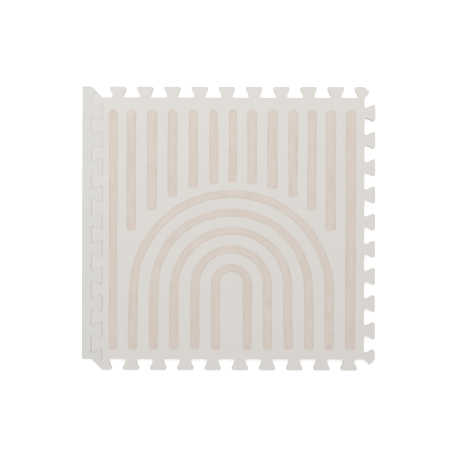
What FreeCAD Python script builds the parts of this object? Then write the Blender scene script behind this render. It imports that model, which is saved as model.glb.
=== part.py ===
import FreeCAD, Part
import math
import os
import Sketcher

# A square foam play-mat tile with die-cut dovetail teeth all round, and the edging strip that
# fills the teeth of one side and gives it a straight border.
#
# Millimetres. The origin is the centre of the tile's underside, +Z is up, the edging strip is on
# the -X side, and the bars of the print run along Y.

DRIVING_DIMENSIONS = (
    ("tooth_pitch", 60, "from one tooth to the next along a side"),
    ("tooth_count", 10, "teeth on each side of the tile"),
    ("tooth_depth", 24, "from the straight edge to the tips of the teeth"),
    ("flank_slope", 0.5, "how far a flank leans out for each millimetre of depth"),
    ("corner_radius", 4, "rounding of the teeth's corners and roots"),
    ("point_radius", 1, "rounding of the mitred points at the tile's corners"),
    ("foam_thickness", 11.7, "the foam under the film"),
    ("film_thickness", 0.3, "the film laminated on top of the foam"),
    ("ink_depth", 0.1, "how deep the print lies in the film"),
    ("fit_gap", 0.3, "between the teeth of the tile and those of the edging strip"),
    ("band_width", 21, "the edging strip's straight band, outside the teeth"),
    ("band_corner_radius", 2, "rounding of the band's outer corners"),
    ("line_width", 20, "every printed arch, and the bars before their own differences"),
    ("arch_count", 5, "printed arches, one inside the other"),
    ("print_shift", -3, "the bars' middle line, off the tile's centre"),
    ("arch_shift", -4.3, "the arches' middle line, off the tile's centre"),
    ("side_margin", 17, "from the straight edge to the outermost bars"),
    ("top_margin", 26, "from the straight edge to the tops of the bars"),
    ("bottom_margin", 20, "from the straight edge to the feet of the lines"),
    ("middle_bar_length", 161, "the bar over the arches' crowns"),
    ("crown_gap", 15.5, "between that bar and the outermost arch"),
    ("bar_end_spread", 49, "how much larger the circle of the bars' ends is than the outermost arch"),
    ("arch_inset", 1.5, "how far the outermost arch's legs stand inside the bars over them"),
    ("inner_arch_radius", 34.5, "the innermost arch, to the middle of its line"),
    ("crown_pitch", 40.6, "from one arch's crown to the next"),
)

# The print is drawn by hand: how far each bar, from -X to +X, stands off its even place, and how
# much wider than line_width it is.
HAND_DRAWN_BARS = (
    (0, -2),
    (-4.5, 0),
    (-2, 2),
    (-1, 0.5),
    (1.5, -0.5),
    (3, -1.5),
    (1.5, -2),
    (0, 1),
    (2, 2),
    (3.5, 0),
    (1.5, -0.5),
    (-0.5, 1.5),
    (0, 2),
)

# Lines that several pieces share, measured from the tile's centre.
CELL = "(dims.tooth_pitch * dims.tooth_count / 2)"
EDGE = f"({CELL} - dims.tooth_depth / 2)"
TIP = f"({CELL} + dims.tooth_depth / 2)"

# A tooth is as wide at half its depth as the gap beside it, so that any side fits any other.
HALF_PITCH = "(dims.tooth_pitch / 2)"
MIDDLE_HALF_WIDTH = "(dims.tooth_pitch / 4)"
FLARE = "(dims.flank_slope * dims.tooth_depth / 2)"
ROOT_DEPTH = "dims.corner_radius"

# The edging strip's outline is the tile's, moved away from it by the fit gap.
STRIP_ROOT = f"({TIP} + dims.fit_gap)"
STRIP_TIP = f"({EDGE} + dims.fit_gap)"
FLANK_GAP = "(dims.fit_gap * (dims.flank_slope + sqrt(1 + dims.flank_slope ^ 2)))"
MITRE_STEP = "(dims.fit_gap * (sqrt(2) - 1))"
POINT_STEP = "(dims.fit_gap / sqrt(2))"
BAND_EDGE = f"({TIP} + dims.band_width)"

# The print.
FILM_TOP = "(dims.foam_thickness + dims.film_thickness)"
HALF_LINE = "(dims.line_width / 2)"
BAR_COUNT = len(HAND_DRAWN_BARS)
BAR_PITCH = f"((2 * ({EDGE} - dims.side_margin) - dims.line_width) / ({BAR_COUNT} - 1))"
BAR_TOP = f"({EDGE} - dims.top_margin)"
LINE_FOOT = f"(dims.bottom_margin - {EDGE})"
OUTER_ARCH_RADIUS = f"(dims.arch_count * {BAR_PITCH} - dims.arch_inset)"
ARCH_PITCH = f"(({OUTER_ARCH_RADIUS} - dims.inner_arch_radius) / (dims.arch_count - 1))"
MIDDLE_BAR_END = f"({BAR_TOP} - dims.middle_bar_length)"
OUTER_CROWN = f"({MIDDLE_BAR_END} - dims.crown_gap - {HALF_LINE})"
BAR_END_RADIUS = f"({OUTER_ARCH_RADIUS} + {HALF_LINE} + dims.bar_end_spread)"

START, END, CENTRE = 1, 2, 3
ORIGIN = (-1, 1)

doc = FreeCAD.newDocument("play_mat_tile")
dims = doc.addObject("Spreadsheet::Sheet", "dims")


def fill_sheet():
    """One row for each driving dimension: its name, its value and what it measures."""
    rows = list(DRIVING_DIMENSIONS)
    for number, (drift, extra_width) in enumerate(HAND_DRAWN_BARS, start=1):
        rows.append((f"drift_of_bar_{number}", drift, "off its even place"))
        rows.append((f"extra_width_of_bar_{number}", extra_width, "over line_width"))
    for row, (name, value, meaning) in enumerate(rows, start=1):
        dims.set(f"A{row}", name)
        dims.set(f"B{row}", str(value))
        dims.set(f"C{row}", meaning)
        dims.setAlias(f"B{row}", name)
    doc.recompute()


def value_of(expression):
    return float(dims.evalExpression(expression))


def new_body(label, height="0"):
    """A body of its own for one piece, whose underside is at the given height."""
    body = doc.addObject("PartDesign::Body", label)
    body.Label = label
    body.setExpression("Placement.Base.z", height)
    return body


def new_sketch(body, name, height="0"):
    """A sketch on the body's own XY plane, raised by the given height."""
    sketch = body.newObject("Sketcher::SketchObject", name)
    plane = next(p for p in body.Origin.OriginFeatures if p.Role == "XY_Plane")
    sketch.AttachmentSupport = [(plane, "")]
    sketch.MapMode = "FlatFace"
    sketch.setExpression("AttachmentOffset.Base.z", height)
    return sketch


def bind_place(sketch, geometry, place, x, y):
    """Set a point's place from the sketch's origin, and keep it tied to the sheet."""
    for kind, expression in (("DistanceX", x), ("DistanceY", y)):
        index = sketch.addConstraint(
            Sketcher.Constraint(kind, *ORIGIN, geometry, place, value_of(expression))
        )
        sketch.setExpression(f"Constraints[{index}]", expression)


def corner_arc(before, corner, after, radius):
    """Where a corner's rounding touches its two lines, its centre, and whether it turns left."""
    to_before = (before - corner).normalize()
    to_after = (after - corner).normalize()
    half_angle = to_before.getAngle(to_after) / 2
    reach = radius / math.tan(half_angle)
    inward = (to_before + to_after).normalize()
    centre = corner + inward * (radius / math.sin(half_angle))
    turns_left = to_after.cross(to_before).z > 0
    return corner + to_before * reach, corner + to_after * reach, centre, turns_left


def add_arc(sketch, centre, first, last):
    """Add the arc that runs counterclockwise from first to last."""
    circle = Part.Circle(centre, FreeCAD.Vector(0, 0, 1), (first - centre).Length)
    start_angle = math.atan2(first.y - centre.y, first.x - centre.x)
    end_angle = math.atan2(last.y - centre.y, last.x - centre.x)
    if end_angle <= start_angle:
        end_angle += 2 * math.pi
    return sketch.addGeometry(Part.ArcOfCircle(circle, start_angle, end_angle), False)


def draw_polygon(sketch, corners):
    """Draw a closed counterclockwise outline of straight lines from corners of (x, y, radius).

    A corner with no radius stays sharp. A rounded one keeps the place where its two lines would
    meet as a construction point, and its arc is tangent to both.
    """
    places = [FreeCAD.Vector(value_of(x), value_of(y), 0) for x, y, _ in corners]
    arcs = []
    for here, (_, _, radius) in enumerate(corners):
        after = places[(here + 1) % len(places)]
        if radius is None:
            arcs.append(None)
        else:
            arcs.append(corner_arc(places[here - 1], places[here], after, value_of(radius)))
    lines = []
    for here, place in enumerate(places):
        there = (here + 1) % len(places)
        first = arcs[here][1] if arcs[here] else place
        last = arcs[there][0] if arcs[there] else places[there]
        lines.append(sketch.addGeometry(Part.LineSegment(first, last), False))
    for here, (x, y, radius) in enumerate(corners):
        before, after = lines[here - 1], lines[here]
        if arcs[here] is None:
            sketch.addConstraint(Sketcher.Constraint("Coincident", before, END, after, START))
            bind_place(sketch, after, START, x, y)
            continue
        point = sketch.addGeometry(Part.Point(places[here]), True)
        bind_place(sketch, point, START, x, y)
        first, last, centre, turns_left = arcs[here]
        if turns_left:
            arc = add_arc(sketch, centre, first, last)
            entry, leave = START, END
        else:
            arc = add_arc(sketch, centre, last, first)
            entry, leave = END, START
        sketch.addConstraint(Sketcher.Constraint("PointOnObject", point, START, before))
        sketch.addConstraint(Sketcher.Constraint("PointOnObject", point, START, after))
        sketch.addConstraint(Sketcher.Constraint("Tangent", before, END, arc, entry))
        sketch.addConstraint(Sketcher.Constraint("Tangent", arc, leave, after, START))
        index = sketch.addConstraint(Sketcher.Constraint("Radius", arc, value_of(radius)))
        sketch.setExpression(f"Constraints[{index}]", radius)


def draw_line_print(sketch, corners):
    """Draw the closed outline of a printed line from corners of (x, y, way).

    way says how the outline goes on to the next corner: straight, or by a half turn to the left
    or to the right between two corners at the same height.
    """
    pieces = []
    for here, (x, y, way) in enumerate(corners):
        next_x, next_y, _ = corners[(here + 1) % len(corners)]
        first = FreeCAD.Vector(value_of(x), value_of(y), 0)
        last = FreeCAD.Vector(value_of(next_x), value_of(next_y), 0)
        if way == "straight":
            pieces.append((sketch.addGeometry(Part.LineSegment(first, last), False), START, END))
            continue
        if way == "left":
            arc = add_arc(sketch, (first + last) / 2, first, last)
            pieces.append((arc, START, END))
        else:
            arc = add_arc(sketch, (first + last) / 2, last, first)
            pieces.append((arc, END, START))
        sketch.addConstraint(Sketcher.Constraint("Horizontal", arc, CENTRE, arc, START))
    for here, (x, y, _) in enumerate(corners):
        before, _, before_end = pieces[here - 1]
        after, after_start, _ = pieces[here]
        sketch.addConstraint(
            Sketcher.Constraint("Coincident", before, before_end, after, after_start)
        )
        bind_place(sketch, after, after_start, x, y)


def add_pad(body, name, draw, outlines, length):
    """Raise outlines from the body's underside, each drawn by the given function."""
    sketch = new_sketch(body, f"{name}_sketch")
    for outline in outlines:
        draw(sketch, outline)
    pad = body.newObject("PartDesign::Pad", name)
    pad.Profile = sketch
    pad.setExpression("Length", length)
    doc.recompute()
    return pad


def add_pocket(body, name, draw, outlines, height, depth):
    """Cut outlines down into the body from the given height."""
    sketch = new_sketch(body, f"{name}_sketch", height)
    for outline in outlines:
        draw(sketch, outline)
    pocket = body.newObject("PartDesign::Pocket", name)
    pocket.Profile = sketch
    pocket.setExpression("Length", depth)
    doc.recompute()
    return pocket


def row_of(body, name, axis_name, count):
    """A transform that repeats a feature along the body's X or Y axis, one tooth pitch apart."""
    pattern = body.newObject("PartDesign::LinearPattern", name)
    axis = next(a for a in body.Origin.OriginFeatures if a.Role == axis_name)
    pattern.Direction = (axis, [""])
    pattern.setExpression("Occurrences", count)
    pattern.setExpression("Length", f"dims.tooth_pitch * ({count} - 1)")
    return pattern


def four_sides_of(body, name):
    """A transform that repeats a feature on all four sides of the tile."""
    pattern = body.newObject("PartDesign::PolarPattern", name)
    axis = next(a for a in body.Origin.OriginFeatures if a.Role == "Z_Axis")
    pattern.Axis = (axis, [""])
    pattern.Angle = 360
    pattern.Occurrences = 4
    return pattern


def build_tile_sheet(label, height, thickness):
    """One layer of the tile: a square with a row of dovetail teeth on each side.

    The last tooth of each side is the corner tooth. Its outer end is mitred, so that the corner
    teeth of four tiles meet in one point. Each tooth brings half a pitch of straight edge with it,
    for the rounding at its root.
    """
    body = new_body(label, height)
    square = [
        (f"-{EDGE}", f"-{EDGE}", None),
        (EDGE, f"-{EDGE}", None),
        (EDGE, EDGE, None),
        (f"-{EDGE}", EDGE, None),
    ]
    add_pad(body, f"{label}_square", draw_polygon, [square], thickness)

    root = f"({MIDDLE_HALF_WIDTH} - {FLARE})"
    tip = f"({MIDDLE_HALF_WIDTH} + {FLARE})"
    base = f"({EDGE} - {ROOT_DEPTH})"
    first = f"(dims.tooth_pitch * 0.75 - {CELL})"
    tooth = [
        (f"{first} - {HALF_PITCH}", base, None),
        (f"{first} + {HALF_PITCH}", base, None),
        (f"{first} + {HALF_PITCH}", EDGE, None),
        (f"{first} + {root}", EDGE, "dims.corner_radius"),
        (f"{first} + {tip}", TIP, "dims.corner_radius"),
        (f"{first} - {tip}", TIP, "dims.corner_radius"),
        (f"{first} - {root}", EDGE, "dims.corner_radius"),
        (f"{first} - {HALF_PITCH}", EDGE, None),
    ]
    tooth_pad = add_pad(body, f"{label}_tooth", draw_polygon, [tooth], thickness)
    teeth = body.newObject("PartDesign::MultiTransform", f"{label}_teeth")
    row = row_of(body, f"{label}_row", "X_Axis", "dims.tooth_count - 1")
    sides = four_sides_of(body, f"{label}_sides")
    teeth.Originals = [tooth_pad]
    teeth.Transformations = [row, sides]
    body.Tip = teeth
    doc.recompute()

    last = f"({CELL} - dims.tooth_pitch / 4)"
    corner_tooth = [
        (f"{last} - {HALF_PITCH}", base, None),
        (EDGE, base, None),
        (EDGE, EDGE, "dims.corner_radius"),
        (CELL, CELL, "dims.point_radius"),
        (EDGE, TIP, "dims.corner_radius"),
        (f"{last} - {tip}", TIP, "dims.corner_radius"),
        (f"{last} - {root}", EDGE, "dims.corner_radius"),
        (f"{last} - {HALF_PITCH}", EDGE, None),
    ]
    corner_pad = add_pad(body, f"{label}_corner_tooth", draw_polygon, [corner_tooth], thickness)
    corner_teeth = four_sides_of(body, f"{label}_corner_teeth")
    corner_teeth.Originals = [corner_pad]
    body.Tip = corner_teeth
    doc.recompute()
    return body


def build_edging_sheet(label, height, thickness):
    """One layer of the edging strip: a straight band with a row of teeth and two mitred ends."""
    body = new_body(label, height)
    band = [
        (f"-{BAND_EDGE}", f"-{EDGE}", "dims.band_corner_radius"),
        (f"-{STRIP_ROOT}", f"-{EDGE}", None),
        (f"-{STRIP_ROOT}", TIP, None),
        (f"-{BAND_EDGE}", TIP, "dims.band_corner_radius"),
    ]
    add_pad(body, f"{label}_band", draw_polygon, [band], thickness)

    root = f"({MIDDLE_HALF_WIDTH} - {FLARE} - {FLANK_GAP})"
    tip = f"({MIDDLE_HALF_WIDTH} + {FLARE} - {FLANK_GAP})"
    base = f"({STRIP_ROOT} + {ROOT_DEPTH})"
    tip_radius = "dims.corner_radius - dims.fit_gap"
    root_radius = "dims.corner_radius + dims.fit_gap"
    first = f"(dims.tooth_pitch * 1.25 - {CELL})"
    tooth = [
        (f"-{base}", f"{first} - {HALF_PITCH}", None),
        (f"-{STRIP_ROOT}", f"{first} - {HALF_PITCH}", None),
        (f"-{STRIP_ROOT}", f"{first} - {root}", root_radius),
        (f"-{STRIP_TIP}", f"{first} - {tip}", tip_radius),
        (f"-{STRIP_TIP}", f"{first} + {tip}", tip_radius),
        (f"-{STRIP_ROOT}", f"{first} + {root}", root_radius),
        (f"-{STRIP_ROOT}", f"{first} + {HALF_PITCH}", None),
        (f"-{base}", f"{first} + {HALF_PITCH}", None),
    ]
    tooth_pad = add_pad(body, f"{label}_tooth", draw_polygon, [tooth], thickness)
    teeth = row_of(body, f"{label}_teeth", "Y_Axis", "dims.tooth_count - 1")
    teeth.Originals = [tooth_pad]
    body.Tip = teeth
    doc.recompute()

    last = f"(dims.tooth_pitch / 4 - {CELL})"
    foot = [
        (f"-{base}", f"-{EDGE}", None),
        (f"-{TIP}", f"-{EDGE}", "dims.corner_radius"),
        (f"-({CELL} + {POINT_STEP})", f"{POINT_STEP} - {CELL}", "dims.point_radius"),
        (f"-{STRIP_TIP}", f"{MITRE_STEP} - {EDGE}", tip_radius),
        (f"-{STRIP_TIP}", f"{last} + {tip}", tip_radius),
        (f"-{STRIP_ROOT}", f"{last} + {root}", root_radius),
        (f"-{STRIP_ROOT}", f"{last} + {HALF_PITCH}", None),
        (f"-{base}", f"{last} + {HALF_PITCH}", None),
    ]
    add_pad(body, f"{label}_foot", draw_polygon, [foot], thickness)
    head = [
        (f"-{base}", f"-{last}", None),
        (f"-{STRIP_ROOT}", f"-{last}", None),
        (f"-{STRIP_ROOT}", f"{EDGE} + {MITRE_STEP}", root_radius),
        (f"-({CELL} + {POINT_STEP})", f"{CELL} + {POINT_STEP}", "dims.point_radius"),
        (f"-{TIP}", TIP, "dims.corner_radius"),
        (f"-{base}", TIP, None),
    ]
    add_pad(body, f"{label}_head", draw_polygon, [head], thickness)
    return body


def bar_outline(number):
    """A printed bar with round ends. The bars between the outermost two end over the arches."""
    offset = f"(({number} - ({BAR_COUNT} + 1) / 2) * {BAR_PITCH})"
    middle = f"(dims.print_shift + {offset} + dims.drift_of_bar_{number})"
    half_width = f"((dims.line_width + dims.extra_width_of_bar_{number}) / 2)"
    foot = LINE_FOOT
    if 1 < number < BAR_COUNT:
        drop = f"({BAR_END_RADIUS} - sqrt({BAR_END_RADIUS} ^ 2 - {offset} ^ 2))"
        foot = f"({MIDDLE_BAR_END} - {drop})"
    return [
        (f"{middle} + {half_width}", f"{foot} + {half_width}", "straight"),
        (f"{middle} + {half_width}", f"{BAR_TOP} - {half_width}", "left"),
        (f"{middle} - {half_width}", f"{BAR_TOP} - {half_width}", "straight"),
        (f"{middle} - {half_width}", f"{foot} + {half_width}", "left"),
    ]


def arch_outline(number):
    """A printed arch, counted from the outermost: half a ring on two legs with round feet."""
    steps = f"({number} - 1)"
    radius = f"({OUTER_ARCH_RADIUS} - {steps} * {ARCH_PITCH})"
    spring = f"({OUTER_CROWN} - {steps} * dims.crown_pitch - {radius})"
    outer = f"({radius} + {HALF_LINE})"
    inner = f"({radius} - {HALF_LINE})"
    foot = f"({LINE_FOOT} + {HALF_LINE})"
    return [
        (f"dims.arch_shift + {outer}", foot, "straight"),
        (f"dims.arch_shift + {outer}", spring, "left"),
        (f"dims.arch_shift - {outer}", spring, "straight"),
        (f"dims.arch_shift - {outer}", foot, "left"),
        (f"dims.arch_shift - {inner}", foot, "straight"),
        (f"dims.arch_shift - {inner}", spring, "right"),
        (f"dims.arch_shift + {inner}", spring, "straight"),
        (f"dims.arch_shift + {inner}", foot, "left"),
    ]


def build_print(film, outlines):
    """Lay each printed line, of {label: outline}, into the film, flush with the film's top."""
    whole = film.Shape.Volume
    recess_depth = "dims.ink_depth"
    add_pocket(
        film, "print_recess", draw_line_print, outlines.values(), "dims.film_thickness", recess_depth
    )
    removed = whole - film.Shape.Volume
    inks = []
    for label, outline in outlines.items():
        ink = new_body(label, f"{FILM_TOP} - {recess_depth}")
        add_pad(ink, f"{label}_ink", draw_line_print, [outline], recess_depth)
        inks.append(ink)
    if not math.isclose(removed, sum(ink.Shape.Volume for ink in inks), rel_tol=0.001):
        raise RuntimeError("the print doesn't fill its recess in the film")
    return inks


def check_document():
    for item in doc.Objects:
        if "Invalid" in item.State or "Error" in item.State:
            raise RuntimeError(f"{item.Label} failed: {item.State}")


def export(pieces):
    """Write each piece to its own file, once all of them are sound."""
    check_document()
    for piece in pieces:
        if piece.Shape.isNull() or not piece.Shape.isValid() or len(piece.Shape.Solids) != 1:
            raise RuntimeError(f"{piece.Label} isn't one valid solid")
    os.makedirs("parts", exist_ok=True)
    for piece in pieces:
        piece.Shape.exportStep(f"parts/{piece.Label}.step")
        print(f"{piece.Label}: {piece.Shape.Volume / 1000:.2f} cm3")


fill_sheet()

tile_foam = build_tile_sheet("tile_foam", "0", "dims.foam_thickness")
tile_film = build_tile_sheet("tile_film", "dims.foam_thickness", "dims.film_thickness")
edging_foam = build_edging_sheet("edging_foam", "0", "dims.foam_thickness")
edging_film = build_edging_sheet("edging_film", "dims.foam_thickness", "dims.film_thickness")

print_outlines = {}
for number in range(1, BAR_COUNT + 1):
    print_outlines[f"print_bar_{number:02d}"] = bar_outline(number)
for number in range(1, int(dims.arch_count) + 1):
    print_outlines[f"print_arch_{number}"] = arch_outline(number)
inks = build_print(tile_film, print_outlines)

doc.recompute()
export([tile_foam, tile_film, edging_foam, edging_film, *inks])
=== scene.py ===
import math

import bmesh
import bpy
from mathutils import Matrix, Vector, noise
from mathutils.geometry import delaunay_2d_cdt


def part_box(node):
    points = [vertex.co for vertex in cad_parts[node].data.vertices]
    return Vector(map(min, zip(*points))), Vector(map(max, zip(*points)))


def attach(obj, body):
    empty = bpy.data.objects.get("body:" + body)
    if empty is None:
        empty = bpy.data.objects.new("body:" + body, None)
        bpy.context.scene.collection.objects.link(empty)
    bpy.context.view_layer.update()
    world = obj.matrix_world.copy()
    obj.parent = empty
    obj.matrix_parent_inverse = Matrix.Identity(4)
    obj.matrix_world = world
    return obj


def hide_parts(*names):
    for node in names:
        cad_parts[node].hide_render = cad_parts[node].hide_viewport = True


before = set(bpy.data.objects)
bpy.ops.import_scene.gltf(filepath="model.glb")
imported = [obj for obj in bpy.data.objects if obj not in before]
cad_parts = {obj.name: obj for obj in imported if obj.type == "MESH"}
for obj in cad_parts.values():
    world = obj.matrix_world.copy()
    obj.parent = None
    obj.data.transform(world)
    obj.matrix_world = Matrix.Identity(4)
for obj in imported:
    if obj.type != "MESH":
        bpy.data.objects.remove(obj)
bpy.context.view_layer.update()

# A foam play-mat tile with its edging strip, seen from straight above. Metres. The tile's centre
# is at x = y = 0 and its underside at z = 0.

TILE, STRIP = "tile", "edging_strip"

# The cut of the teeth, as in the design.
TOOTH_PITCH = 0.060
TOOTH_COUNT = 10
TOOTH_DEPTH = 0.024
FLANK_SLOPE = 0.5
CORNER_RADIUS = 0.004
POINT_RADIUS = 0.001
BAND_CORNER_RADIUS = 0.002
FLANK_GAP = 0.0001
TOP_GAP = 0.0001
FOOT_GAP = 0.0005
LINE_WIDTH = 0.020

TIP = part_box("tile_foam")[1].x
CELL = TIP - TOOTH_DEPTH / 2
EDGE = TIP - TOOTH_DEPTH
BAND_EDGE = -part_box("edging_foam")[0].x
FOAM_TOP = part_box("tile_foam")[1].z
FILM_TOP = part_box("tile_film")[1].z

# How finely the pieces are meshed.
ARC_STEPS = 8
EDGE_STEP = 0.004
GRIP_PITCH = 0.0035
FLAT_PITCH = TOOTH_DEPTH / 2
LATTICE_MARGIN = 0.4
FOOT_STEPS = 4
SIDE_STEPS = 6
RIM_STEPS = 6
SHOULDER_SHARES = (0.35, 0.7, 1)
CAP_TOLERANCE = 1e-8

# The cut edge: the knife presses the film's rim down and leaves a slight waist in the foam.
RIM_RADIUS = 0.00032
FOOT_RADIUS = 0.0005
WAIST = 0.00025
CUT_WAVE = 0.00004
WAVES_PER_METRE = 60
GRIP_DEPTH = 0.0006
FLAT_MARGIN = 0.0001


# ---------------------------------------------------------------------------------- outlines

def corner_arc(before, corner, after, radius):
    """The points of a rounded corner, between the two places where it touches its lines."""
    to_before = (before - corner).normalized()
    to_after = (after - corner).normalized()
    half_angle = to_before.angle(to_after) / 2
    reach = radius / math.tan(half_angle)
    centre = corner + (to_before + to_after).normalized() * (radius / math.sin(half_angle))
    first = corner + to_before * reach - centre
    last = corner + to_after * reach - centre
    turn = first.angle_signed(last)
    points = []
    for step in range(ARC_STEPS + 1):
        angle = -turn * step / ARC_STEPS
        cosine, sine = math.cos(angle), math.sin(angle)
        spoke = Vector((first.x * cosine - first.y * sine, first.x * sine + first.y * cosine))
        points.append(centre + spoke)
    return points


def rounded_outline(corners):
    """A closed counterclockwise outline of points from corners of (x, y, radius)."""
    places = [Vector((x, y)) for x, y, _ in corners]
    rough = []
    for here, (_, _, radius) in enumerate(corners):
        after = places[(here + 1) % len(places)]
        rough.extend(corner_arc(places[here - 1], places[here], after, radius))
    outline = []
    for here, point in enumerate(rough):
        after = rough[(here + 1) % len(rough)]
        steps = max(1, round((after - point).length / EDGE_STEP))
        outline.extend(point.lerp(after, step / steps) for step in range(steps))
    return outline


def half_widths(flank_gap, tip_gap):
    """A tooth's half widths at its root and at its tip, with the given gaps left around it."""
    room = flank_gap * math.sqrt(1 + FLANK_SLOPE ** 2) + tip_gap * FLANK_SLOPE
    flare = FLANK_SLOPE * TOOTH_DEPTH / 2
    return TOOTH_PITCH / 4 - room - flare, TOOTH_PITCH / 4 - room + flare


def tile_outline():
    """Four equal sides of nine teeth and a mitred corner tooth, each a quarter turn on."""
    root, tip = half_widths(0, 0)
    side = []
    for number in range(TOOTH_COUNT):
        middle = TOOTH_PITCH * (number + 0.75) - CELL
        side.append((middle - root, EDGE, CORNER_RADIUS))
        side.append((middle - tip, TIP, CORNER_RADIUS))
        if number < TOOTH_COUNT - 1:
            side.append((middle + tip, TIP, CORNER_RADIUS))
            side.append((middle + root, EDGE, CORNER_RADIUS))
    side.append((EDGE, TIP, CORNER_RADIUS))
    side.append((CELL, CELL, POINT_RADIUS))
    side.append((EDGE, EDGE, CORNER_RADIUS))
    corners = []
    for _ in range(4):
        corners.extend(side)
        side = [(y, -x, radius) for x, y, radius in side]
    corners.reverse()
    return rounded_outline(corners)


def tip_gap(y):
    """The gap past the ends of the teeth: the strip sits tight at its top and opens downward."""
    return TOP_GAP + (FOOT_GAP - TOP_GAP) * (TIP - y) / (2 * TIP)


def strip_outline():
    """The straight band, and the teeth that fill the tile's left side."""
    mitre = FLANK_GAP * math.sqrt(2)
    point = FLANK_GAP / math.sqrt(2)
    inside, outside = CORNER_RADIUS + FLANK_GAP, CORNER_RADIUS - FLANK_GAP
    gap = tip_gap(-EDGE)
    corners = [
        (-BAND_EDGE, TIP, BAND_CORNER_RADIUS),
        (-BAND_EDGE, -EDGE, BAND_CORNER_RADIUS),
        (-TIP, -EDGE, CORNER_RADIUS),
        (-CELL - point, point - CELL, POINT_RADIUS),
        (-EDGE - gap, mitre - gap - EDGE, outside),
    ]
    for number in range(TOOTH_COUNT):
        middle = TOOTH_PITCH * (number + 0.25) - CELL
        gap = tip_gap(middle)
        root, tip = half_widths(FLANK_GAP, gap)
        if number > 0:
            corners.append((-TIP - gap, middle - root, inside))
            corners.append((-EDGE - gap, middle - tip, outside))
        corners.append((-EDGE - gap, middle + tip, outside))
        corners.append((-TIP - gap, middle + root, inside))
    gap = tip_gap(EDGE)
    corners.append((-TIP - gap, EDGE + mitre - gap, inside))
    corners.append((-CELL - point, CELL + point, POINT_RADIUS))
    corners.append((-TIP, TIP, CORNER_RADIUS))
    return rounded_outline(corners)


def outward(outline):
    """The outline's outward normal at each point."""
    normals = []
    for here, point in enumerate(outline):
        before, after = outline[here - 1], outline[(here + 1) % len(outline)]
        along = (point - before).normalized() + (after - point).normalized()
        normals.append(Vector((along.y, -along.x)).normalized())
    return normals


def lattice_inside(outline, pitch):
    """The points of a square lattice that lie well inside an outline."""
    low_x = min(p.x for p in outline)
    high_x = max(p.x for p in outline)
    low_y = min(p.y for p in outline)
    high_y = max(p.y for p in outline)
    margin = pitch * LATTICE_MARGIN

    def crossings(y):
        places = []
        for here, a in enumerate(outline):
            b = outline[(here + 1) % len(outline)]
            if (a.y > y) != (b.y > y):
                places.append(a.x + (b.x - a.x) * (y - a.y) / (b.y - a.y))
        places.sort()
        return list(zip(places[::2], places[1::2]))

    points = []
    for row in range(math.ceil(low_y / pitch), math.floor(high_y / pitch) + 1):
        y = row * pitch
        spans = [crossings(y + shift) for shift in (-margin, 0, margin)]
        for column in range(math.ceil(low_x / pitch), math.floor(high_x / pitch) + 1):
            x = column * pitch
            if all(any(a + margin < x < b - margin for a, b in span) for span in spans):
                points.append((column, row, Vector((x, y))))
    return points


# ------------------------------------------------------------------------------------- meshes

def new_piece(name, mesh, body, node):
    """Put a mesh in the scene, riding on a body and standing in for one CAD node."""
    piece = bpy.data.objects.new(name, mesh)
    bpy.context.scene.collection.objects.link(piece)
    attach(piece, body)
    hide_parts(node)
    return piece


def add_cap(bm, ring, upward, pitch, height):
    """Close a ring with triangles on a lattice, whose height is given at each lattice point."""
    outline = [Vector((v.co.x, v.co.y)) for v in ring]
    lattice = lattice_inside(outline, pitch)
    rim = [(i, (i + 1) % len(outline)) for i in range(len(outline))]
    spots = outline + [place for _, _, place in lattice]
    places, _, faces, sources, _, _ = delaunay_2d_cdt(spots, rim, [], 1, CAP_TOLERANCE)
    verts = []
    for place, source in zip(places, sources):
        if source[0] < len(ring):
            verts.append(ring[source[0]])
        else:
            column, row, _ = lattice[source[0] - len(ring)]
            verts.append(bm.verts.new((place.x, place.y, height(column, row))))
    for face in faces:
        corners = [verts[i] for i in face]
        if not upward:
            corners.reverse()
        bm.faces.new(corners).smooth = False


def wavy(point, seed):
    """A slow, small wander of the knife's cut."""
    return noise.noise(Vector((point.x * WAVES_PER_METRE, point.y * WAVES_PER_METRE, seed)))


def slab_mesh(name, outline, profile, grip, seed):
    """A closed layer with the given outline. profile is its side, from the bottom up, as rows of
    (how far inside the outline, height). grip makes the underside's fine pyramids."""
    normals = outward(outline)
    bm = bmesh.new()
    rings = []
    for inset, height in profile:
        ring = []
        for here, point in enumerate(outline):
            wave = CUT_WAVE * wavy(point, seed + height * 40)
            place = point - normals[here] * (inset + wave)
            ring.append(bm.verts.new((place.x, place.y, height)))
        rings.append(ring)
    for lower, upper in zip(rings, rings[1:]):
        for here in range(len(outline)):
            there = (here + 1) % len(outline)
            bm.faces.new((lower[here], lower[there], upper[there], upper[here])).smooth = True
    bottom = profile[0][1]
    if grip:
        add_cap(bm, rings[0], False, GRIP_PITCH,
                lambda column, row: bottom + GRIP_DEPTH * ((column + row) % 2))
    else:
        add_cap(bm, rings[0], False, FLAT_PITCH, lambda column, row: bottom)
    top = profile[-1][1]
    add_cap(bm, rings[-1], True, FLAT_PITCH, lambda column, row: top)
    mesh = bpy.data.meshes.new(name)
    bm.to_mesh(mesh)
    bm.free()
    return mesh


def foam_profile():
    """The foam's side: a rounded foot, a slight waist and a shoulder that the rim presses in."""
    rows = [(FOOT_RADIUS + FLAT_MARGIN, 0)]
    for step in range(FOOT_STEPS):
        angle = math.pi / 2 * step / FOOT_STEPS
        rows.append((FOOT_RADIUS * (1 - math.sin(angle)), FOOT_RADIUS * (1 - math.cos(angle))))
    low, high = FOOT_RADIUS, FILM_TOP - RIM_RADIUS
    for step in range(SIDE_STEPS + 1):
        share = step / SIDE_STEPS
        rows.append((WAIST * math.sin(math.pi * share), low + (high - low) * share))
    for share in SHOULDER_SHARES:
        rise = (FOAM_TOP - high) * share
        rows.append((RIM_RADIUS - math.sqrt(RIM_RADIUS ** 2 - rise ** 2), high + rise))
    return rows


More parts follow.
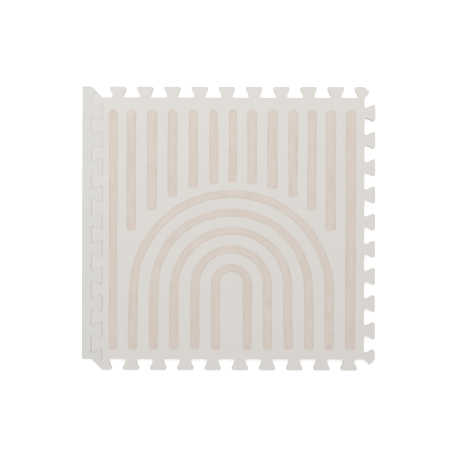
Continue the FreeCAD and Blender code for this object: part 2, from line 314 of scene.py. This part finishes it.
def film_profile():
    """The film's side, which carries the foam's shoulder on into the flat top."""
    centre = FILM_TOP - RIM_RADIUS
    start = math.asin((FOAM_TOP - centre) / RIM_RADIUS)
    rows = []
    for step in range(RIM_STEPS + 1):
        angle = start + (math.pi / 2 - start) * step / RIM_STEPS
        rows.append((RIM_RADIUS * (1 - math.cos(angle)), centre + RIM_RADIUS * math.sin(angle)))
    rows.append((RIM_RADIUS + FLAT_MARGIN, FILM_TOP))
    return rows


# ------------------------------------------------------------------------------------- print

ACROSS = 12
INK_RISE = 0.00005
INK_SINK = 0.00005
MERGE_DISTANCE = 1e-6
LINE_STEP = 0.002
END_STEPS = 14

# The wander of a line and of its two sides: (bends per metre, how far).
SLOW_SIDE = (11, 0.0011)
QUICK_SIDE = (90, 0.0005)
DRIFT = (6, 0.0010)

# Where the ink is stronger or paler.
POOL_PLACE = 0.008
POOL_REACH = 0.006
SIDE_LOAD = 0.8
STREAK_LOAD = 0.5
CROWN_PALENESS = 0.15

# The arches' width at the crown, as a share of their width at the feet.
CROWN_SHARE = 0.85

# The ends of the printed lines: how far the rounding reaches, as a share of half the line's width,
# its squareness, where 2 is round, and how strongly ink pooled in it.
ARCH_FOOT = (0.95, 2.4, 1.1)
BAR_FOOT = (0.65, 2.6, 0)
BAR_TOP = (1.3, 2.0, 0)

# The print is a generic one: straight bars, and nested arches of even half rings. The bars' places
# and widths are those of their CAD nodes. The slight wander comes from noise alone.

def end_taper(distance, reach, squareness):
    """How wide a line is near its end, as a share of its full width."""
    if distance >= reach:
        return 1.0
    left = 1 - max(distance, 0) / reach
    return (1 - left ** squareness) ** (1 / squareness)


def line_stations(length, first_reach, last_reach):
    """Distances along a line from 0 to its length, close together in its two round ends."""
    shares = [1 - math.cos(math.pi / 2 * step / END_STEPS) for step in range(END_STEPS)]
    straight = length - first_reach - last_reach
    steps = math.ceil(straight / LINE_STEP)
    first = [first_reach * share for share in shares]
    middle = [first_reach + straight * step / steps for step in range(steps + 1)]
    last = [length - last_reach * share for share in reversed(shares)]
    return first + middle + last


def line_mesh(name, path, half_width, seed):
    """A printed line along path: a function from a distance along it to (place, normal, thinness),
    its length, its two ends, and how narrow it is where it is thinnest.

    The line wanders a little and its two sides are slightly uneven. ink_load holds how
    much more ink lies at its sides, in streaks along it and in its pools.
    """
    route, length, ends, narrowest = path
    reaches = [half_width * end[0] for end in ends]
    stations = line_stations(length, *reaches)
    bm = bmesh.new()
    load = bm.verts.layers.float.new("ink_load")
    pools = []
    for end, where in zip(ends, (0.3, 5.3)):
        pools.append(end[2] * max(0.1, 0.5 + noise.noise(Vector((seed, where, 0)))))
    upper, lower = [], []
    for along in stations:
        place, normal, thinness = route(along)
        here_half = half_width * (1 - (1 - narrowest) * thinness)
        near_end = min(along, length - along)
        end = 0 if along < length / 2 else 1
        taper = end_taper(near_end, reaches[end], ends[end][1])
        sides = []
        for side in (-1, 1):
            slow = noise.noise(Vector((along * SLOW_SIDE[0], seed, side * 5.3))) * SLOW_SIDE[1]
            quick = noise.noise(Vector((along * QUICK_SIDE[0], seed + 40, side * 7.1)))
            quick *= QUICK_SIDE[1]
            sides.append((here_half + slow + quick) * taper)
        drift = noise.noise(Vector((along * DRIFT[0], seed + 80, 0))) * DRIFT[1]
        top_row, bottom_row = [], []
        for number in range(ACROSS + 1):
            turn = math.sin(math.pi / 2 * (2 * number / ACROSS - 1))
            width = sides[1] if turn > 0 else sides[0]
            spot = place + normal * (turn * width + drift)
            edge = abs(turn)
            rise = INK_RISE * (1 - edge ** 4)
            off_pool = math.hypot(near_end - POOL_PLACE, turn * half_width)
            streak = noise.noise(Vector((turn * 2.5, along * 14, seed)))
            amount = edge ** 5 * SIDE_LOAD + streak * STREAK_LOAD - thinness * CROWN_PALENESS
            amount += pools[end] * math.exp(-(off_pool / POOL_REACH) ** 2)
            vert = bm.verts.new((spot.x, spot.y, FILM_TOP + rise))
            vert[load] = amount
            top_row.append(vert)
            if 0 < number < ACROSS:
                vert = bm.verts.new((spot.x, spot.y, FILM_TOP - INK_SINK))
                vert[load] = amount
            bottom_row.append(vert)
        upper.append(top_row)
        lower.append(bottom_row)
    for first, second in zip(range(len(stations)), range(1, len(stations))):
        for a, b in zip(range(ACROSS), range(1, ACROSS + 1)):
            bm.faces.new((upper[first][a], upper[first][b], upper[second][b], upper[second][a]))
            bm.faces.new((lower[first][a], lower[second][a], lower[second][b], lower[first][b]))
    bmesh.ops.remove_doubles(bm, verts=bm.verts, dist=MERGE_DISTANCE)
    bmesh.ops.recalc_face_normals(bm, faces=bm.faces)
    for face in bm.faces:
        face.smooth = True
    mesh = bpy.data.meshes.new(name)
    bm.to_mesh(mesh)
    bm.free()
    return mesh


def bar_path(node):
    """A straight path from a printed bar's foot to its top."""
    low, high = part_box(node)
    middle = (low.x + high.x) / 2

    def route(along):
        return Vector((middle, low.y + along)), Vector((-1, 0)), 0

    return (route, high.y - low.y, (BAR_FOOT, BAR_TOP), 1), (high.x - low.x) / 2


def arch_path(node):
    """A path up the right leg, over the crown and down the left leg."""
    low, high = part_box(node)
    middle = (low.x + high.x) / 2
    radius = (high.x - low.x) / 2 - LINE_WIDTH / 2
    spring = high.y - LINE_WIDTH / 2 - radius
    leg = spring - low.y
    turn = math.pi * radius

    def on_leg(side, climbed):
        return Vector((middle + side * radius, low.y + climbed)), Vector((side, 0)), 0

    def route(along):
        if along < leg:
            return on_leg(1, along)
        if along > leg + turn:
            return on_leg(-1, 2 * leg + turn - along)
        angle = (along - leg) / radius
        out = Vector((math.cos(angle), math.sin(angle)))
        place = Vector((middle, spring)) + out * radius
        return place, out, math.sqrt(max(0, math.sin(angle)))

    ends = (ARCH_FOOT, ARCH_FOOT)
    return (route, 2 * leg + turn, ends, CROWN_SHARE), LINE_WIDTH / 2


# ---------------------------------------------------------------------------------- materials

def srgb(red, green, blue):
    """A colour given in 0 to 255 steps, as the shader wants it."""
    def linear(value):
        value /= 255
        return value / 12.92 if value <= 0.04045 else ((value + 0.055) / 1.055) ** 2.4
    return (linear(red), linear(green), linear(blue), 1)


class Nodes:
    """A material's node tree, built a node at a time."""

    def __init__(self, name):
        self.material = bpy.data.materials.new(name)
        self.material.use_nodes = True
        self.tree = self.material.node_tree
        self.shader = self.tree.nodes["Principled BSDF"]
        self.place = self.add("ShaderNodeTexCoord").outputs["Object"]

    def add(self, kind, **inputs):
        node = self.tree.nodes.new(kind)
        for name, value in inputs.items():
            self.set(node.inputs[name.replace("_", " ")], value)
        return node

    def set(self, socket, value):
        if isinstance(value, bpy.types.NodeSocket):
            self.tree.links.new(value, socket)
        else:
            socket.default_value = value

    def noise(self, scale, detail=2.0, roughness=0.5):
        node = self.add("ShaderNodeTexNoise", Vector=self.place, Scale=scale, Detail=detail,
                        Roughness=roughness)
        return node.outputs["Fac"]

    def cells(self, scale):
        node = self.add("ShaderNodeTexVoronoi", Vector=self.place, Scale=scale)
        return node.outputs["Distance"]

    def between(self, value, low, high):
        """value, from 0 to 1, carried over to the range from low to high."""
        node = self.add("ShaderNodeMapRange", Value=value)
        node.inputs["To Min"].default_value = low
        node.inputs["To Max"].default_value = high
        return node.outputs["Result"]

    def math(self, operation, first, second):
        node = self.tree.nodes.new("ShaderNodeMath")
        node.operation = operation
        self.set(node.inputs[0], first)
        self.set(node.inputs[1], second)
        return node.outputs["Value"]

    def mix(self, share, first, second):
        node = self.tree.nodes.new("ShaderNodeMix")
        node.data_type = "RGBA"
        self.set(node.inputs["Factor"], share)
        self.set(node.inputs[6], first)
        self.set(node.inputs[7], second)
        return node.outputs[2]

    def bump(self, height, distance, strength=1.0, under=None):
        node = self.add("ShaderNodeBump", Height=height, Distance=distance, Strength=strength)
        if under is not None:
            self.set(node.inputs["Normal"], under)
        return node.outputs["Normal"]


def film_material(name, pale, deep):
    """A matt embossed film: a fine leather grain, and a faint cloudiness in its colour."""
    nodes = Nodes(name)
    clouds = nodes.noise(9, 3)
    specks = nodes.noise(900, 2)
    share = nodes.math("ADD", nodes.between(clouds, 0.1, 0.7), nodes.between(specks, -0.2, 0.3))
    nodes.set(nodes.shader.inputs["Base Color"], nodes.mix(share, pale, deep))
    nodes.set(nodes.shader.inputs["Roughness"], nodes.between(specks, 0.5, 0.68))
    grain = nodes.bump(nodes.cells(700), 0.00015, 0.5)
    nodes.set(nodes.shader.inputs["Normal"], nodes.bump(specks, 0.00005, 0.3, grain))
    return nodes.material


def foam_material(name, pale, deep):
    """Closed-cell foam, cut with a knife: fine open cells, fine specks and a faint cloudiness."""
    nodes = Nodes(name)
    cells = nodes.cells(1400)
    specks = nodes.noise(500, 4, 0.7)
    clouds = nodes.noise(25, 2)
    share = nodes.math("ADD", nodes.between(specks, -0.1, 0.7), nodes.between(clouds, -0.1, 0.3))
    nodes.set(nodes.shader.inputs["Base Color"], nodes.mix(share, pale, deep))
    nodes.set(nodes.shader.inputs["Roughness"], nodes.between(specks, 0.8, 0.95))
    pores = nodes.bump(cells, 0.00025, 0.6)
    nodes.set(nodes.shader.inputs["Normal"], nodes.bump(specks, 0.0002, 0.4, pores))
    return nodes.material


def ink_material(name, pale, deep):
    """Blush print on the film: blotchy like a brush stroke, and stronger at its sides and ends."""
    nodes = Nodes(name)
    load = nodes.add("ShaderNodeAttribute")
    load.attribute_name = "ink_load"
    clouds = nodes.noise(38, 3)
    blotches = nodes.noise(170, 3, 0.6)
    specks = nodes.noise(900, 2)
    share = nodes.math("ADD", nodes.between(clouds, -0.2, 0.6), nodes.between(blotches, -0.1, 0.5))
    share = nodes.math("ADD", share, nodes.math("MULTIPLY", load.outputs["Fac"], 0.5))
    nodes.set(nodes.shader.inputs["Base Color"], nodes.mix(share, pale, deep))
    nodes.set(nodes.shader.inputs["Roughness"], nodes.between(specks, 0.48, 0.64))
    grain = nodes.bump(nodes.cells(700), 0.00015, 0.5)
    nodes.set(nodes.shader.inputs["Normal"], nodes.bump(specks, 0.00005, 0.3, grain))
    return nodes.material


# -------------------------------------------------------------------------------------- build

tile_film = film_material("tile_film", srgb(223, 220, 216), srgb(218, 214, 209))
strip_film = film_material("strip_film", srgb(219, 218, 214), srgb(214, 212, 207))
# The cut foam's colour is partly the foam's own slightly darker tone and partly painted shade:
# both colours are set darker and greyer than the film so the lit sides read darker, in the grey of
# shaded flanks.
foam = foam_material("cut_foam_painted_shade", srgb(213, 210, 205), srgb(195, 192, 187))
ink = ink_material("blush_ink", srgb(222, 211, 202), srgb(207, 193, 182))


def build_layers(outline, body, names, skin, seed):
    """One foam slab with its film, in the place of their two CAD nodes."""
    foam_node, film_node = names
    mesh = slab_mesh(f"{foam_node}_slab", outline, foam_profile(), True, seed)
    mesh.materials.append(foam)
    slab = new_piece(f"{foam_node}_slab", mesh, body, foam_node)
    mesh = slab_mesh(f"{film_node}_skin", outline, film_profile(), False, seed)
    mesh.materials.append(skin)
    new_piece(f"{film_node}_skin", mesh, body, film_node)


TILE_SEED = 3.0
STRIP_SEED = 9.0
PRINT_SEED_STEP = 13.7

build_layers(tile_outline(), TILE, ("tile_foam", "tile_film"), tile_film, TILE_SEED)
build_layers(strip_outline(), STRIP, ("edging_foam", "edging_film"), strip_film, STRIP_SEED)

print_nodes = sorted(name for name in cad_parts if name.startswith("print_"))
for number, node in enumerate(print_nodes):
    path, half_width = bar_path(node) if "bar" in node else arch_path(node)
    mesh = line_mesh(f"{node}_stroke", path, half_width, PRINT_SEED_STEP * (number + 1))
    mesh.materials.append(ink)
    new_piece(f"{node}_stroke", mesh, TILE, node)


# ----------------------------------------------------------------------------- floor and light

FLOOR_HALF = 20.0
FLOOR_DROP = 0.0002
FLOOR_GLOW = 0.4
WORLD_STRENGTH = 0.62
CAMERA_HEIGHT = 2.2
PHOTO_WIDTH = 1.0052
VIEW_CENTRE = Vector((-0.0106, -0.0004))
PHOTO_TURN = math.radians(0.15)


def build_floor():
    bm = bmesh.new()
    bmesh.ops.create_grid(bm, x_segments=8, y_segments=8, size=FLOOR_HALF)
    mesh = bpy.data.meshes.new("floor")
    bm.to_mesh(mesh)
    bm.free()
    nodes = Nodes("pale_floor")
    nodes.set(nodes.shader.inputs["Base Color"], (0.9, 0.9, 0.9, 1))
    nodes.set(nodes.shader.inputs["Roughness"], 0.9)
    nodes.set(nodes.shader.inputs["Emission Color"], (1, 1, 1, 1))
    nodes.set(nodes.shader.inputs["Emission Strength"], FLOOR_GLOW)
    mesh.materials.append(nodes.material)
    floor = bpy.data.objects.new("floor", mesh)
    floor.location.z = -FLOOR_DROP
    bpy.context.scene.collection.objects.link(floor)


def add_soft_box(name, place, size, watts):
    """A square area light that looks at the middle of the tile."""
    light = bpy.data.lights.new(name, "AREA")
    light.shape = "SQUARE"
    light.size = size
    light.energy = watts
    lamp = bpy.data.objects.new(name, light)
    lamp.location = place
    lamp.rotation_euler = (-Vector(place)).to_track_quat("-Z", "Y").to_euler()
    bpy.context.scene.collection.objects.link(lamp)


def build_light():
    world = bpy.data.worlds.new("studio")
    world.use_nodes = True
    background = world.node_tree.nodes["Background"]
    background.inputs["Color"].default_value = (1, 1, 1, 1)
    background.inputs["Strength"].default_value = WORLD_STRENGTH
    bpy.context.scene.world = world
    add_soft_box("top_light", (-0.5, 1.6, 2.6), 1.8, 40)
    add_soft_box("fill_light", (0.8, -1.4, 2.8), 2.6, 5)


def build_camera():
    camera = bpy.data.cameras.new("camera")
    camera.sensor_width = 36
    camera.lens = camera.sensor_width * (CAMERA_HEIGHT - FILM_TOP) / PHOTO_WIDTH
    eye = bpy.data.objects.new("camera", camera)
    eye.location = (VIEW_CENTRE.x, VIEW_CENTRE.y, CAMERA_HEIGHT)
    eye.rotation_euler = (0, 0, PHOTO_TURN)
    bpy.context.scene.collection.objects.link(eye)
    bpy.context.scene.camera = eye


build_floor()
build_light()
build_camera()
bpy.context.scene.view_settings.view_transform = "Standard"
